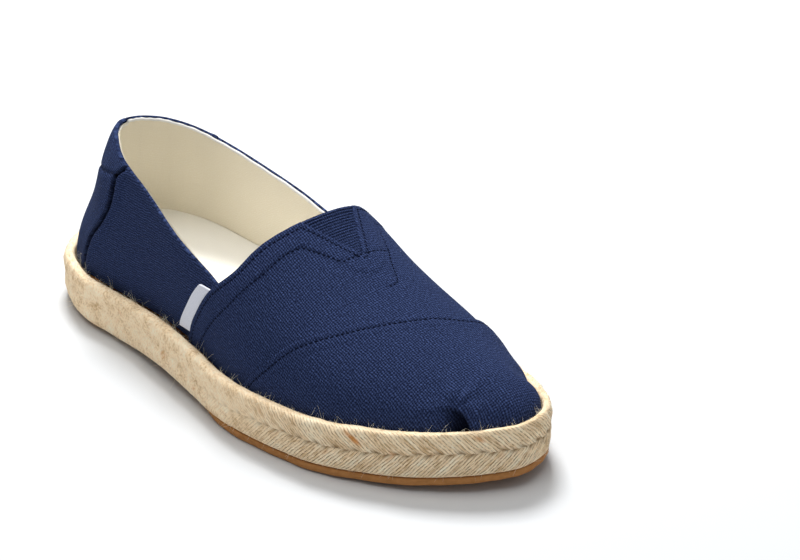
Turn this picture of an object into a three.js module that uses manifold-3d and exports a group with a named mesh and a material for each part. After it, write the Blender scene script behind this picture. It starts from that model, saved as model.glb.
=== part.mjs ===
// Flat canvas espadrille, the right shoe, standing empty on its sole.
// Millimetres. +X points to the toe, +Y to the inner side of the foot, +Z up.
import * as THREE from "three";
import { mergeVertices } from "three/addons/utils/BufferGeometryUtils.js";
import Module from "manifold-3d";

const wasm = await Module();
wasm.setup();

// Driving dimensions of the sole
const soleLength = 248;
const ballWidth = 95;
const heelWidth = 74;
const toeSpring = 4.5;
const archLift = 1.8;
const outsoleThickness = 3;
const ropeHeight = 16.7;
const rimWidth = 5;
const rimDepth = 2;
const insoleThickness = 6.5;
const ribPitch = 7.4;
const ribRise = 0.27;
const ribRelief = 0.55;
const ribLean = 7;
const coreJoin = 2.5;
const outsoleChamfer = 0.6;

// Driving dimensions of the upper, heights measured from the ground under a flat sole
const wall = 2;
const canvas = 0.9;
const toeCanvas = 1.4;
const goreThickness = 0.6;
const tagThickness = 0.8;
const heelTop = 67;
const collarDip = 46;
const instepHeight = 82;
const throatHeight = 70;
const toeBoxHeight = 35;
const vampLength = 117;
const throatLength = 100.5;
const vampFootLength = 134.5;
const notchDepth = 18;
const notchWidth = 22;
const tagLength = 20;
const tagWidth = 8;
const tagDrop = 2;
const heelPanelLength = 50;

// Clearance between pieces that meet
const gap = 0.3;

// Mesh density
const stations = 28;
const rises = 10;
const profileSteps = 20;
const lengthSteps = 720;
const tagSteps = 4;

// Points closer than this are one
const weld = 1e-4;

// Outline of the sole: along is a share of the sole's length, outer and inner are shares of the local width
const outline = [
  { along: 0, outer: 0, inner: 0 },
  { along: 0.022, outer: 0.225, inner: 0.235 },
  { along: 0.09, outer: 0.41, inner: 0.42 },
  { along: 0.2, outer: 0.5, inner: 0.485 },
  { along: 0.34, outer: 0.485, inner: 0.455 },
  { along: 0.48, outer: 0.485, inner: 0.435 },
  { along: 0.62, outer: 0.515, inner: 0.475 },
  { along: 0.75, outer: 0.48, inner: 0.465 },
  { along: 0.87, outer: 0.35, inner: 0.385 },
  { along: 0.95, outer: 0.185, inner: 0.287 },
  { along: 0.985, outer: 0.06, inner: 0.2 },
  { along: 1, outer: -0.055, inner: 0.055 },
];

// Share of the ball's width, the rest being the heel's
const widthBlend = [
  { along: 0, ball: 0 },
  { along: 0.2, ball: 0 },
  { along: 0.6, ball: 1 },
  { along: 1, ball: 1 },
];

// Height of the sole's underside: arch and spring are shares of their own sizes
const underside = [
  { along: 0, arch: 0, spring: 0.1 },
  { along: 0.05, arch: 0, spring: 0 },
  { along: 0.26, arch: 0, spring: 0 },
  { along: 0.41, arch: 1, spring: 0 },
  { along: 0.56, arch: 0, spring: 0 },
  { along: 0.72, arch: 0, spring: 0 },
  { along: 0.86, arch: 0, spring: 0.3 },
  { along: 1, arch: 0, spring: 1 },
];

// Edge of the sole, as shares of the rim's width: back is how far the outsole stands back under the rope,
// rim is how much of the rope shows round the upper
const edges = [
  { along: 0, back: 0.28, rim: 0.85 },
  { along: 0.15, back: 0.3, rim: 0.95 },
  { along: 0.35, back: 0.6, rim: 1 },
  { along: 0.5, back: 0.36, rim: 1 },
  { along: 0.6, back: 0.2, rim: 1 },
  { along: 0.85, back: 0.2, rim: 0.95 },
  { along: 1, back: 0.2, rim: 0.6 },
];

// Crown of the last: instep and toe are shares of the instep's and the toe box's heights,
// side is the ridge's place across as a share of the ball's width, square is how full a section is
const crown = [
  { along: 0, instep: 1.2, toe: 0, side: 0, square: 1.2 },
  { along: 0.2, instep: 1.16, toe: 0, side: 0, square: 1.9 },
  { along: 0.4, instep: 1.32, toe: 0, side: 0.01, square: 2.15 },
  { along: 0.5, instep: 1, toe: 0, side: 0.025, square: 2.15 },
  { along: 0.6, instep: 0.78, toe: 0, side: 0.03, square: 2.08 },
  { along: 0.7, instep: 0.47, toe: 0.35, side: 0.03, square: 2.05 },
  { along: 0.8, instep: 0.2, toe: 0.8, side: 0.03, square: 2.05 },
  { along: 0.9, instep: 0.04, toe: 0.98, side: 0.03, square: 2.05 },
  { along: 1, instep: 0, toe: 0.96, side: 0.025, square: 2.3 },
];

// Where the foot's sides come together: the ridge runs between these shares of the length
const ridgeStart = 0.17;
const ridgeEnd = 0.84;

// Side view of the collar: back is a share of the way to the vamp's corner, outer and inner go from the dip
// (0) to the heel's top (1) on each side of the foot
const collar = [
  { back: -0.2, outer: 0.95, inner: 0.95 },
  { back: 0.04, outer: 0.97, inner: 0.97 },
  { back: 0.24, outer: 1.27, inner: 1.27 },
  { back: 0.5, outer: 0.93, inner: 1 },
  { back: 0.75, outer: 0.46, inner: 0.57 },
  { back: 1, outer: 0, inner: 0.1 },
];

// Value of one column of a table, on a smooth curve that keeps flat stretches flat
function follow(table, key, column, at) {
  const last = table.length - 1;
  const x = Math.min(Math.max(at, table[0][key]), table[last][key]);
  let i = 0;
  while (i < last - 1 && x > table[i + 1][key]) i += 1;
  const secant = (k) => {
    const run = table[k + 1][key] - table[k][key];
    return (table[k + 1][column] - table[k][column]) / run;
  };
  const slope = (k) => {
    if (k === 0) return secant(0);
    if (k === last) return secant(last - 1);
    const before = secant(k - 1);
    const after = secant(k);
    return before * after <= 0 ? 0 : (2 * before * after) / (before + after);
  };
  const run = table[i + 1][key] - table[i][key];
  const u = (x - table[i][key]) / run;
  const v = 1 - u;
  return (
    table[i][column] * v * v * (1 + 2 * u) +
    table[i + 1][column] * u * u * (1 + 2 * v) +
    run * u * v * (slope(i) * v - slope(i + 1) * u)
  );
}

// The outline table against the angle of its place along the sole, so both ends come out round
const turned = outline.map((row) => ({ ...row, turn: Math.acos(1 - 2 * row.along) }));

function outlineAt(turn) {
  const outer = turn <= Math.PI;
  const angle = outer ? turn : 2 * Math.PI - turn;
  const along = (1 - Math.cos(angle)) / 2;
  const ball = follow(widthBlend, "along", "ball", along);
  const width = ball * ballWidth + (1 - ball) * heelWidth;
  const share = follow(turned, "turn", outer ? "outer" : "inner", angle);
  return new THREE.Vector2(along * soleLength, (outer ? -share : share) * width);
}

// Point of the outline moved in by a distance
function insetAt(turn, inset) {
  const step = 0.01;
  const full = 2 * Math.PI;
  const before = outlineAt((turn - step + full) % full);
  const after = outlineAt((turn + step) % full);
  const tangent = after.sub(before).normalize();
  const point = outlineAt(turn % full);
  return new THREE.Vector2(point.x - tangent.y * inset, point.y + tangent.x * inset);
}

function groundAt(x) {
  const along = x / soleLength;
  const arch = follow(underside, "along", "arch", along);
  return arch * archLift + follow(underside, "along", "spring", along) * toeSpring;
}

// Heights above the sole's underside
const ropeBottom = outsoleThickness + gap;
const ropeTop = ropeBottom + ropeHeight;
const recessFloor = ropeTop - rimDepth;
const upperBottom = recessFloor + gap;

// How far in from the sole's outline the rim's inner wall and the upper stand
function rimAt(along) {
  return rimWidth * follow(edges, "along", "rim", along);
}

function upperInset(along) {
  return rimAt(along) + gap + toeCanvas + gap;
}

const turnOf = (i) => (Math.PI * i) / stations;
const around = 2 * stations;

// A manifold solid from points and triangles
function solidFrom(points, triangles) {
  const positions = new Float32Array(triangles.length * 9);
  triangles.flat().forEach((index, k) => points[index].toArray(positions, 3 * k));
  const loose = new THREE.BufferGeometry();
  loose.setAttribute("position", new THREE.BufferAttribute(positions, 3));
  return solidOf(loose);
}

function solidOf(geometry) {
  const bare = geometry.index ? geometry.toNonIndexed() : geometry.clone();
  bare.deleteAttribute("normal");
  bare.deleteAttribute("uv");
  const merged = mergeVertices(bare, weld);
  return new wasm.Manifold(
    new wasm.Mesh({
      numProp: 3,
      vertProperties: merged.attributes.position.array,
      triVerts: new Uint32Array(merged.index.array),
    }),
  );
}

function geometryOf(solid) {
  const mesh = solid.getMesh();
  const geometry = new THREE.BufferGeometry();
  geometry.setAttribute("position", new THREE.BufferAttribute(mesh.vertProperties, 3));
  geometry.setIndex(new THREE.BufferAttribute(mesh.triVerts, 1));
  geometry.computeVertexNormals();
  return geometry;
}

// Triangles between loops of the same length, the last loop joined to the first when closed
function bands(loops, count, closed) {
  const triangles = [];
  const last = closed ? loops : loops - 1;
  for (let row = 0; row < last; row += 1) {
    const next = ((row + 1) % loops) * count;
    for (let i = 0; i < count; i += 1) {
      const j = (i + 1) % count;
      triangles.push([row * count + i, row * count + j, next + j]);
      triangles.push([row * count + i, next + j, next + i]);
    }
  }
  return triangles;
}

// Cover over a loop whose points i and count - i lie across from each other
function cover(start, count, upward) {
  const triangles = [];
  const add = (a, b, c) => {
    triangles.push(upward ? [start + a, start + b, start + c] : [start + a, start + c, start + b]);
  };
  const half = count / 2;
  add(0, 1, count - 1);
  for (let i = 1; i < half - 1; i += 1) {
    add(i, i + 1, count - i);
    add(i + 1, count - i - 1, count - i);
  }
  add(half - 1, half, half + 1);
  return triangles;
}

// Solid through loops that climb from the bottom to the top, covered at both ends
function stackSolid(loops) {
  const count = loops[0].length;
  const top = (loops.length - 1) * count;
  const sides = bands(loops.length, count, false);
  return solidFrom(loops.flat(), [...cover(0, count, false), ...sides, ...cover(top, count, true)]);
}

// Loop at an inset from the outline and a height above the underside
function soleLoop(inset, height) {
  return Array.from({ length: around }, (_, i) => {
    const turn = turnOf(i);
    const along = outlineAt(turn).x / soleLength;
    const p = insetAt(turn, inset(along));
    return new THREE.Vector3(p.x, p.y, groundAt(p.x) + height);
  });
}

function makeOutsole() {
  const edge = (along) => follow(edges, "along", "back", along) * rimWidth;
  return stackSolid([
    soleLoop((along) => edge(along) + outsoleChamfer, 0),
    soleLoop(edge, outsoleChamfer),
    soleLoop(edge, outsoleThickness),
  ]);
}

// Section of the braided band: in is the inset as a share of the rim's width, up a share of the rope's
// height, relief how much of the ribs shows
const braidSection = [
  { in: 0.3, up: 0, relief: 0 },
  { in: 0.12, up: 0.1, relief: 0.8 },
  { in: 0.03, up: 0.27, relief: 1 },
  { in: 0.05, up: 0.42, relief: 1 },
  { in: 0.17, up: 0.5, relief: 0.2 },
  { in: 0.03, up: 0.58, relief: 1 },
  { in: 0.02, up: 0.76, relief: 1 },
  { in: 0.16, up: 0.92, relief: 0.8 },
  { in: 0.5, up: 1, relief: 0.2 },
  { in: 1, up: 0.95, relief: 0 },
];

// Length of the outline up to each of many turns, so ribs stand evenly along it
function outlineLengths(steps) {
  const lengths = [0];
  for (let i = 1; i <= steps; i += 1) {
    const a = outlineAt((2 * Math.PI * (i - 1)) / steps);
    const b = outlineAt(((2 * Math.PI * i) / steps) % (2 * Math.PI));
    lengths.push(lengths[i - 1] + a.distanceTo(b));
  }
  return lengths;
}

const lengths = outlineLengths(lengthSteps);

function turnAtLength(length) {
  const whole = lengths[lengthSteps];
  const at = ((length % whole) + whole) % whole;
  let i = 0;
  while (lengths[i + 1] < at) i += 1;
  const part = (at - lengths[i]) / (lengths[i + 1] - lengths[i]);
  return (2 * Math.PI * (i + part)) / lengthSteps;
}

// The band of rope and the core inside it: ribs lean up and down from the middle line, their points facing
// round toward the toe on the outer side
function makeRope() {
  const whole = lengths[lengthSteps];
  const columns = 2 * Math.round(whole / ribPitch);
  const floor = { in: 1, up: (recessFloor - ropeBottom - coreJoin) / ropeHeight, relief: 0 };
  const inner = { in: 1, up: 0, relief: 0 };
  const points = [];
  [...braidSection, floor, inner].forEach((row) => {
    const lean = row.relief > 0 ? ribLean * (1 - Math.abs(2 * row.up - 1)) : 0;
    for (let i = 0; i < columns; i += 1) {
      const turn = turnAtLength((i * whole) / columns + lean);
      const rib = i % 2 === 0;
      const relief = row.relief * (rib ? -ribRise : ribRelief);
      const p = insetAt(turn, row.in * rimAt(outlineAt(turn).x / soleLength) + relief);
      points.push(new THREE.Vector3(p.x, p.y, groundAt(p.x) + ropeBottom + row.up * ropeHeight));
    }
  });
  const band = solidFrom(points, bands(braidSection.length + 2, columns, true));
  const reach = (along) => rimAt(along) - coreJoin;
  const core = stackSolid([soleLoop(reach, ropeBottom + gap), soleLoop(reach, recessFloor)]);
  return band.add(core);
}

// Thickness of the insole, thick under the heel, as a share of its own size
const footbed = [
  { along: 0, thick: 1.3 },
  { along: 0.22, thick: 1.3 },
  { along: 0.45, thick: 0.75 },
  { along: 1, thick: 0.6 },
];

// Its top across, from the edge (0) to the middle (1), drop being a share of its size
const dish = [
  { across: 0.3, drop: 0.15 },
  { across: 0.7, drop: 0.2 },
];

// Sock lining on the rope, cut to the inside of the upper, its edge a little higher than its middle
function makeInsole() {
  const inset = (along) => upperInset(along) + wall;
  const bottom = recessFloor + gap;
  const low = soleLoop(inset, bottom);
  const edge = low.map((p) => {
    const thick = follow(footbed, "along", "thick", p.x / soleLength);
    return p.clone().setZ(p.z + thick * insoleThickness);
  });
  const dished = dish.map((row) =>
    edge.map((p, i) => {
      const middle = p.clone().lerp(edge[(around - i) % around], 0.5);
      const point = p.clone().lerp(middle, row.across);
      return point.setZ(point.z - row.drop * insoleThickness);
    }),
  );
  return stackSolid([low, edge, ...dished]).intersect(lastSolid(-wall - gap, gap));
}

// The last's surface: loops from the feather line up to the ridge, where both sides meet
function lastSurface() {
  const feather = Array.from({ length: around }, (_, i) => {
    const along = outlineAt(turnOf(i)).x / soleLength;
    return insetAt(turnOf(i), upperInset(along));
  });
  const instepRise = instepHeight - upperBottom;
  const toeRise = toeBoxHeight - upperBottom;
  const ridge = (x) => {
    const along = x / soleLength;
    const instep = follow(crown, "along", "instep", along) * instepRise;
    return upperBottom + instep + follow(crown, "along", "toe", along) * toeRise;
  };
  const loops = [];
  for (let row = 0; row <= rises; row += 1) {
    const angle = ((Math.PI / 2) * row) / rises;
    const loop = feather.map((start, i) => {
      const along = outlineAt(turnOf(i)).x / soleLength;
      const ridgeX = soleLength * (ridgeStart + (ridgeEnd - ridgeStart) * along);
      const ridgeY = ballWidth * follow(crown, "along", "side", ridgeX / soleLength);
      const square = follow(crown, "along", "square", start.x / soleLength);
      const inward = 1 - Math.pow(Math.max(Math.cos(angle), 0), 2 / square);
      const upward = Math.pow(Math.sin(angle), 2 / square);
      const x = start.x + (ridgeX - start.x) * inward;
      const y = start.y + (ridgeY - start.y) * inward;
      const low = groundAt(start.x) + upperBottom;
      const z = ridge(x) - (ridge(start.x) - low) * (1 - upward);
      return new THREE.Vector3(x, y, z);
    });
    loops.push(row === rises ? joinedSides(loop) : loop);
  }
  return loops;
}

// A loop whose inner side repeats the points of its outer side
function joinedSides(loop) {
  return loop.map((p, i) => (i > stations ? loop[around - i].clone() : p));
}

const lastLoops = lastSurface();

// Outward directions at the last's points, level at the feather line
const lastNormals = (() => {
  const normals = lastLoops.map((loop) => loop.map(() => new THREE.Vector3()));
  const flatPoints = lastLoops.flat();
  const flatNormals = normals.flat();
  const ridgeRow = rises * around;
  const partner = (k) => (k >= ridgeRow ? ridgeRow + ((around - (k - ridgeRow)) % around) : k);
  bands(rises + 1, around, false).forEach(([a, b, c]) => {
    const side = flatPoints[b].clone().sub(flatPoints[a]);
    const other = flatPoints[c].clone().sub(flatPoints[a]);
    const normal = side.cross(other);
    new Set([a, b, c, partner(a), partner(b), partner(c)]).forEach((k) => flatNormals[k].add(normal));
  });
  normals[0].forEach((n) => n.setZ(0));
  flatNormals.forEach((n) => n.normalize());
  return normals;
})();

// The last grown or shrunk by a distance, standing on its feather line or reaching below it
function lastSolid(grow, drop) {
  const loops = lastLoops.map((loop, row) =>
    loop.map((p, i) => p.clone().addScaledVector(lastNormals[row][i], grow)),
  );
  loops[rises] = joinedSides(loops[rises]);
  if (drop > 0) loops.unshift(loops[0].map((p) => p.clone().setZ(p.z - drop)));
  const triangles = [...cover(0, around, false), ...bands(loops.length, around, false)];
  return solidFrom(loops.flat(), triangles);
}

// A thin layer lying over the upper
function layer(thickness) {
  return lastSolid(gap + thickness, 0).subtract(lastSolid(gap, 2 * gap));
}

// Prism across the shoe from points of its side view, or up through it from points of its plan
function sidePrism(points, from, to) {
  const shape = new THREE.Shape(points.map(([x, z]) => new THREE.Vector2(x, z)));
  const geometry = new THREE.ExtrudeGeometry(shape, { depth: to - from, bevelEnabled: false });
  geometry.rotateX(Math.PI / 2).translate(0, to, 0);
  return solidOf(geometry);
}

function planPrism(points, height) {
  const shape = new THREE.Shape(points.map(([x, y]) => new THREE.Vector2(x, y)));
  return solidOf(new THREE.ExtrudeGeometry(shape, { depth: height, bevelEnabled: false }));
}

const far = 2 * soleLength;

// Prism from points of a view turned about the shoe's length, from the plan (0) to the side (a quarter turn)
function slantPrism(points, slant) {
  const shape = new THREE.Shape(points.map(([x, y]) => new THREE.Vector2(x, y)));
  const geometry = new THREE.ExtrudeGeometry(shape, { depth: 2 * far, bevelEnabled: false });
  geometry.translate(0, 0, -far).rotateX(slant);
  return solidOf(geometry);
}

const throatX = soleLength - throatLength;
const cornerX = soleLength - vampLength;

// Vamp's rear edge in the side view: up is a share of the throat's height, forward of the way to the throat
const vampEdge = [
  { up: 0, forward: 0 },
  { up: 0.2, forward: 0 },
  { up: 0.36, forward: 0.08 },
  { up: 0.51, forward: 0.25 },
  { up: 0.62, forward: 0.41 },
  { up: 0.78, forward: 0.74 },
  { up: 0.89, forward: 0.85 },
  { up: 1, forward: 1 },
  { up: 1.4, forward: 1.7 },
];

const vampFootX = soleLength - vampFootLength;

function vampEdgeX(z) {
  return vampFootX + (throatX - vampFootX) * follow(vampEdge, "up", "forward", z / throatHeight);
}

function vampLine() {
  const top = vampEdge[vampEdge.length - 1].up * throatHeight;
  return Array.from({ length: profileSteps + 1 }, (_, i) => {
    const z = (top * i) / profileSteps;
    return [vampEdgeX(z), z];
  });
}

// All above the collar and behind the throat, one half for each side of the foot
function aboveCollar(side, from, to) {
  const line = Array.from({ length: profileSteps + 1 }, (_, i) => {
    const back = collar[0].back + ((1 - collar[0].back) * i) / profileSteps;
    const up = follow(collar, "back", side, back);
    return [back * cornerX, collarDip + up * (heelTop - collarDip)];
  });
  const corner = line[profileSteps][1];
  const throat = vampLine().filter(([, z]) => z > corner);
  return sidePrism([...line, ...throat, [throatX, far], [-far, far]], from, to);
}

const collarCutter = aboveCollar("outer", -far, 0).add(aboveCollar("inner", 0, far));

const vampRegion = sidePrism([...vampLine(), [far, far], [far, 0]].reverse(), -far, far);

// Seam of the toe panel, each side seen along a line that slants halfway between the plan and the side view:
// across is the way over the foot in that view as a share of the throat's height, along a share of the length
const outerSeam = [
  { across: -0.35, along: 0.6 },
  { across: -0.23, along: 0.624 },
  { across: -0.085, along: 0.665 },
  { across: 0.05, along: 0.695 },
  { across: 0.22, along: 0.739 },
  { across: 0.4, along: 0.777 },
  { across: 0.5, along: 0.795 },
];
const innerSeam = [
  { across: -0.35, along: 0.735 },
  { across: -0.2, along: 0.76 },
  { across: -0.06, along: 0.79 },
  { across: 0.16, along: 0.811 },
  { across: 0.32, along: 0.806 },
  { across: 0.44, along: 0.795 },
  { across: 0.5, along: 0.789 },
];

// Everything ahead of the toe panel's seam, the seam moved forward by a distance
function toeRegion(forward) {
  const ridgeY = ballWidth * follow(crown, "along", "side", outerSeam[outerSeam.length - 1].along);
  const half = (table, slant, side) => {
    const first = table[0].across;
    const span = table[table.length - 1].across - first;
    const seam = Array.from({ length: profileSteps + 1 }, (_, i) => {
      const across = first + (span * i) / profileSteps;
      const x = follow(table, "across", "along", across) * soleLength + forward;
      return [x, across * throatHeight];
    });
    const points = [[seam[0][0], -far], ...seam, [seam[profileSteps][0], far], [far, far], [far, -far]];
    return slantPrism(points.reverse(), slant).trimByPlane([0, side, 0], side * ridgeY + forward);
  };
  return half(outerSeam, Math.PI / 4, -1).add(half(innerSeam, (3 * Math.PI) / 4, 1));
}

// V notch in the vamp's throat, in plan
const notchApexX = throatX + notchDepth;
const notchY = ballWidth * follow(crown, "along", "side", notchApexX / soleLength);

function notchRegion(grow) {
  const slope = notchWidth / 2 / notchDepth;
  const reach = 0.5;
  return planPrism(
    [
      [notchApexX + grow / slope, notchY],
      [throatX - reach * notchDepth, notchY + (1 + reach) * notchDepth * slope + grow],
      [throatX - reach * notchDepth, notchY - (1 + reach) * notchDepth * slope - grow],
    ],
    far,
  );
}

function makeUpper() {
  return lastSolid(0, 0).subtract(lastSolid(-wall, 2 * wall)).subtract(collarCutter);
}

function makeVamp() {
  return layer(canvas)
    .intersect(vampRegion)
    .subtract(collarCutter)
    .subtract(toeRegion(-gap))
    .subtract(notchRegion(gap));
}

function makeToePanel() {
  return layer(toeCanvas).intersect(toeRegion(0));
}

function makeGore() {
  return layer(goreThickness).intersect(vampRegion).intersect(notchRegion(0)).subtract(collarCutter);
}

// Front edge of the heel's panel in the side view: up is a share of the heel's height, forward of the
// panel's length
const heelEdge = [
  { up: 0, forward: 0.6 },
  { up: 0.3, forward: 0.7 },
  { up: 0.5, forward: 0.86 },
  { up: 0.65, forward: 1 },
  { up: 0.8, forward: 1.06 },
  { up: 0.92, forward: 1.06 },
  { up: 1, forward: 1.16 },
  { up: 1.3, forward: 1.6 },
];

function makeHeelPanel() {
  const top = heelEdge[heelEdge.length - 1].up * heelTop;
  const edge = Array.from({ length: profileSteps + 1 }, (_, i) => {
    const z = (top * i) / profileSteps;
    return [heelPanelLength * follow(heelEdge, "up", "forward", z / heelTop), z];
  });
  const region = sidePrism([...edge, [-far, top], [-far, 0]], -far, far);
  return layer(canvas).intersect(region).subtract(collarCutter);
}

// Bare tag in the outer side seam, just behind the vamp's edge
function makeTag() {
  const top = collarDip - tagDrop;
  const edge = Array.from({ length: tagSteps + 1 }, (_, i) => {
    const z = top - (tagLength * i) / tagSteps;
    return [vampEdgeX(z) - gap, z];
  });
  const free = edge.map(([x, z]) => [x - tagWidth, z]).reverse();
  const region = sidePrism([...edge, ...free], -far, 0);
  return layer(tagThickness).intersect(region).subtract(collarCutter);
}

// Materials
const jute = new THREE.MeshStandardMaterial({ color: 0xc9b18a, roughness: 0.95, metalness: 0 });
const rubber = new THREE.MeshStandardMaterial({ color: 0x9a6a38, roughness: 0.7, metalness: 0 });
const navy = new THREE.MeshStandardMaterial({ color: 0x1f2c56, roughness: 0.9, metalness: 0 });
const elastic = new THREE.MeshStandardMaterial({ color: 0x1b2647, roughness: 0.95, metalness: 0 });
const cream = new THREE.MeshStandardMaterial({ color: 0xe6dcc2, roughness: 0.85, metalness: 0 });
const white = new THREE.MeshStandardMaterial({ color: 0xe4e6ee, roughness: 0.8, metalness: 0 });

const shoe = new THREE.Group();

function addPiece(name, solid, material) {
  const piece = new THREE.Mesh(geometryOf(solid), material);
  piece.name = name;
  shoe.add(piece);
}

addPiece("outsole", makeOutsole(), rubber);
addPiece("rope_midsole", makeRope(), jute);
addPiece("insole", makeInsole(), cream);
addPiece("upper", makeUpper(), navy);
addPiece("toe_panel", makeToePanel(), navy);
addPiece("vamp_panel", makeVamp(), navy);
addPiece("heel_panel", makeHeelPanel(), navy);
addPiece("gore", makeGore(), elastic);
addPiece("side_tag", makeTag(), white);

// The origin is on the ground under the middle of the shoe's box
const box = new THREE.Box3().setFromObject(shoe);
const middle = box.getCenter(new THREE.Vector3());
shoe.position.set(-middle.x, -middle.y, -box.min.z);

const part = new THREE.Group();
part.add(shoe);

export default part;
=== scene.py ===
"""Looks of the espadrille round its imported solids. Lengths are millimetres until a mesh is made."""

import math
from functools import partial

import bpy
import numpy as np
from mathutils import Matrix, Vector


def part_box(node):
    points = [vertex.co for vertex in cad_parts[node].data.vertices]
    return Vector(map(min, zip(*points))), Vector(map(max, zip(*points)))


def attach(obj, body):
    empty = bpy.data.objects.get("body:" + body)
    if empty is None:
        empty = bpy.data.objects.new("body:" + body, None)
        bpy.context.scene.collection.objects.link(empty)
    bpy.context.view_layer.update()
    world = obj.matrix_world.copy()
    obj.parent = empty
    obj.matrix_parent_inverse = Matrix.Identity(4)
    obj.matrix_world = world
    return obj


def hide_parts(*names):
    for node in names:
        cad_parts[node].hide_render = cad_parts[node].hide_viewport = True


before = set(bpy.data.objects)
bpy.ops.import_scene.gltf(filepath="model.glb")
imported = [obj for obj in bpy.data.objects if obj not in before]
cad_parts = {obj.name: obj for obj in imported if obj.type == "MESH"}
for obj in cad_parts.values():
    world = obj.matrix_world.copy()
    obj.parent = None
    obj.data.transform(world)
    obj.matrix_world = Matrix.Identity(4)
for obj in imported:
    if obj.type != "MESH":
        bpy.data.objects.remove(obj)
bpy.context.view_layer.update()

MM = 0.001
PI = math.pi
FINE = 2

# Sizes of the sole and the upper, as in the solids
SOLE_LENGTH = 248
BALL_WIDTH = 95
HEEL_WIDTH = 74
TOE_SPRING = 4.5
ARCH_LIFT = 1.8
OUTSOLE = 3
ROPE_HEIGHT = 16.7
RIM_WIDTH = 5
RIM_DEPTH = 2
INSOLE = 6.5
WALL = 2
CANVAS = 0.9
TOE_CANVAS = 1.4
GORE = 0.6
TAG = 0.8
HEEL_TOP = 67
COLLAR_DIP = 46
INSTEP_HEIGHT = 82
THROAT_HEIGHT = 70
TOE_BOX_HEIGHT = 35
CORNER_X = SOLE_LENGTH - 117
THROAT_X = SOLE_LENGTH - 100.5
VAMP_FOOT_X = SOLE_LENGTH - 134.5
NOTCH_DEPTH = 18
NOTCH_WIDTH = 22
TAG_LENGTH = 20
TAG_WIDTH = 8
TAG_DROP = 2
HEEL_PANEL = 50
GAP = 0.3
ROPE_BOTTOM = OUTSOLE + GAP
ROPE_TOP = ROPE_BOTTOM + ROPE_HEIGHT
RECESS = ROPE_TOP - RIM_DEPTH
FEATHER = RECESS + GAP
RIDGE_START = 0.17
RIDGE_END = 0.84


def table(*rows):
    return np.array(rows, float)


# along, outer, inner: the sole's outline as shares of its length and local width
OUTLINE = table(
    (0, 0, 0), (0.022, 0.225, 0.235), (0.09, 0.41, 0.42), (0.2, 0.5, 0.485),
    (0.34, 0.485, 0.455), (0.48, 0.485, 0.435), (0.62, 0.515, 0.475), (0.75, 0.48, 0.465),
    (0.87, 0.35, 0.385), (0.95, 0.185, 0.287), (0.985, 0.06, 0.2), (1, -0.055, 0.055),
)
# along, share of the ball's width
WIDTH_BLEND = table((0, 0), (0.2, 0), (0.6, 1), (1, 1))
# along, arch, spring
UNDERSIDE = table(
    (0, 0, 0.1), (0.05, 0, 0), (0.26, 0, 0), (0.41, 1, 0), (0.56, 0, 0), (0.72, 0, 0),
    (0.86, 0, 0.3), (1, 0, 1),
)
# along, outsole's step back, rim: shares of the rim's width
EDGES = table(
    (0, 0.28, 0.85), (0.15, 0.3, 0.95), (0.35, 0.6, 1), (0.5, 0.36, 1), (0.6, 0.2, 1),
    (0.85, 0.2, 0.95), (1, 0.2, 0.6),
)
# along, instep, toe, side, square: the crown of the last
CROWN = table(
    (0, 1.2, 0, 0, 1.2), (0.2, 1.16, 0, 0, 1.9), (0.4, 1.32, 0, 0.01, 2.15),
    (0.5, 1, 0, 0.025, 2.15), (0.6, 0.78, 0, 0.03, 2.08), (0.7, 0.47, 0.35, 0.03, 2.05),
    (0.8, 0.2, 0.8, 0.03, 2.05), (0.9, 0.04, 0.98, 0.03, 2.05), (1, 0, 0.96, 0.025, 2.3),
)
# back, outer, inner: the collar between its dip and the heel's top
COLLAR = table(
    (-0.2, 0.95, 0.95), (0.04, 0.97, 0.97), (0.24, 1.27, 1.27), (0.5, 0.93, 1),
    (0.75, 0.46, 0.57), (1, 0, 0.1),
)
# up, forward: the vamp's rear edge
VAMP_EDGE = table(
    (0, 0), (0.2, 0), (0.36, 0.08), (0.51, 0.25), (0.62, 0.41), (0.78, 0.74), (0.89, 0.85),
    (1, 1), (1.4, 1.7),
)
# up, forward: the heel panel's front edge
HEEL_EDGE = table(
    (0, 0.6), (0.3, 0.7), (0.5, 0.86), (0.65, 1), (0.8, 1.06), (0.92, 1.06), (1, 1.16),
    (1.3, 1.6),
)
# across, along: the toe panel's seam on each side
OUTER_SEAM = table(
    (-0.35, 0.6), (-0.23, 0.624), (-0.085, 0.665), (0.05, 0.695), (0.22, 0.739), (0.4, 0.777),
    (0.5, 0.795),
)
INNER_SEAM = table(
    (-0.35, 0.735), (-0.2, 0.76), (-0.06, 0.79), (0.16, 0.811), (0.32, 0.806), (0.44, 0.795),
    (0.5, 0.789),
)
# along, thickness of the insole
FOOTBED = table((0, 1.3), (0.22, 1.3), (0.45, 0.75), (1, 0.6))
# in, up, relief, braid: section of the rope, from under it round to the inside of its rim
ROPE_SECTION = table(
    (0.45, 0, 0, 0), (0.2, 0.02, 0.3, 0.3), (0.1, 0.1, 0.8, 1), (0.04, 0.25, 1, 1),
    (0.05, 0.4, 1, 1), (0.065, 0.5, 1, 1), (0.05, 0.6, 1, 1), (0.03, 0.76, 1, 1),
    (0.13, 0.91, 1, 0.9), (0.4, 0.99, 0.8, 0.5), (0.75, 0.99, 0.6, 0.2), (1, 0.93, 0.3, 0),
    (1.04, 0.8, 0, 0),
)


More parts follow.
